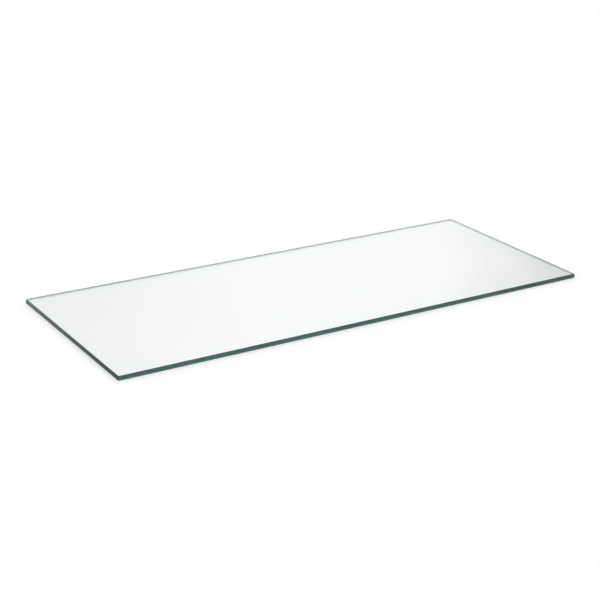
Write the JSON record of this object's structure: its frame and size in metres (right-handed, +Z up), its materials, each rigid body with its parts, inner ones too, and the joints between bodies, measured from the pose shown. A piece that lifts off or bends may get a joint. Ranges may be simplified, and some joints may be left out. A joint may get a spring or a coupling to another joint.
{
  "type": "fridge crisper cover",
  "caption": "Flat rectangular glass pane with ground, rounded edges and small rounded corners, laid over a fridge's crisper drawer.",
  "frame": {"origin": "middle of the underside", "axes": "+X to the right along the long front edge, +Y towards the back of the fridge, +Z up out of the top face"},
  "size_m": [0.45, 0.182, 0.004],
  "materials": {
    "glass": "polished faces, satin ground edges"
  },
  "bodies": {
    "root": {"glass_pane": "glass"}
  },
  "joints": []
}
